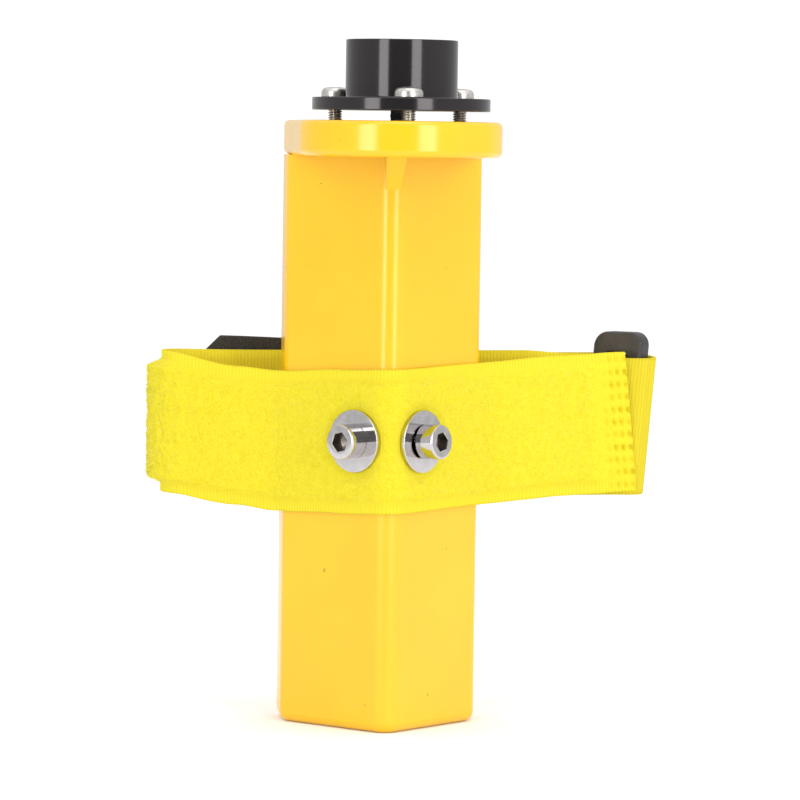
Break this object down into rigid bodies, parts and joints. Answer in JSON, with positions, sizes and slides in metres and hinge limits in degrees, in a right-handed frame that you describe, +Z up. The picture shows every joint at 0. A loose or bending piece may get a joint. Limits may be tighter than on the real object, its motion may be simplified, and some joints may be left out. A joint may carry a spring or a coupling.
{
  "type": "gnss receiver",
  "caption": "Strap-on satellite positioning receiver: V-fronted housing, D-shaped head with a flanged antenna tube on screws, and a hook-and-loop strap.",
  "frame": {"origin": "centre of the flat base, midway between the rounded front edge and the rear face", "axes": "+X to the right as seen from the front, +Y to the rear, +Z up along the housing"},
  "size_m": [0.1475, 0.1071, 0.198],
  "materials": {
    "housing": "gloss moulded",
    "black_anodised": "satin black anodised",
    "black_plastic": "satin",
    "seal": "matte",
    "steel": "polished",
    "brass": "turned",
    "ceramic": "matte",
    "board": "solder mask",
    "shield": "tinned",
    "cell_wrap": "shrink wrap",
    "lead_jacket": "matte",
    "light_pipe": "clear",
    "loop_tape": "brushed loop pile",
    "ribbed_tape": "ribbed weave",
    "hook_tape": "hook pile"
  },
  "bodies": {
    "receiver": {"housing": "housing", "rear_cover": "housing", "rear_gasket": "seal", "rear_screws": "steel", "head_cover": "housing", "head_gasket": "seal", "head_screws": "steel", "antenna_tube": "black_anodised", "antenna_cap": "black_plastic", "antenna_seal": "seal", "antenna_element": "ceramic", "antenna_board": "board", "antenna_screws": "steel", "antenna_inserts": "brass", "cable_grommet": "seal", "antenna_lead": "lead_jacket", "lead_connector": "brass", "receiver_board": "board", "board_screws": "steel", "gnss_module": "shield", "radio_module": "shield", "board_parts": "black_plastic", "battery_cells": "cell_wrap", "battery_holder": "black_plastic", "battery_contacts": "steel", "charge_port": "steel", "button_switch": "shield", "button_seal": "seal", "status_light": "light_pipe", "strap": "loop_tape", "ring_tab": "ribbed_tape", "strap_bolts": "steel", "strap_washers": "steel", "strap_inserts": "brass"},
    "ring": {"buckle_ring": "black_plastic"},
    "tail": {"strap_tail": "ribbed_tape", "hook_tape": "hook_tape"},
    "button": {"power_button": "seal"},
    "plug": {"port_plug": "seal"}
  },
  "joints": [
    {"name": "ring_swing", "type": "hinge", "parent": "receiver", "child": "ring", "pos_m": [0.0791, 0.0276, 0.0895], "axis": [0, 0, 1], "range_deg": [-5, 5]},
    {"name": "tail_peel", "type": "hinge", "parent": "receiver", "child": "tail", "pos_m": [0.0697, 0.0396, 0.088], "axis": [0, 0, -1], "range_deg": [0, 100]},
    {"name": "button_press", "type": "slide", "parent": "receiver", "child": "button", "axis": [0, 0, -1], "range_m": [0, 0.0006], "stiffness_N_per_m": 800, "springref_m": -0.0008},
    {"name": "plug_pull", "type": "slide", "parent": "receiver", "child": "plug", "axis": [0, 1, 0], "range_m": [0, 0.008]}
  ]
}
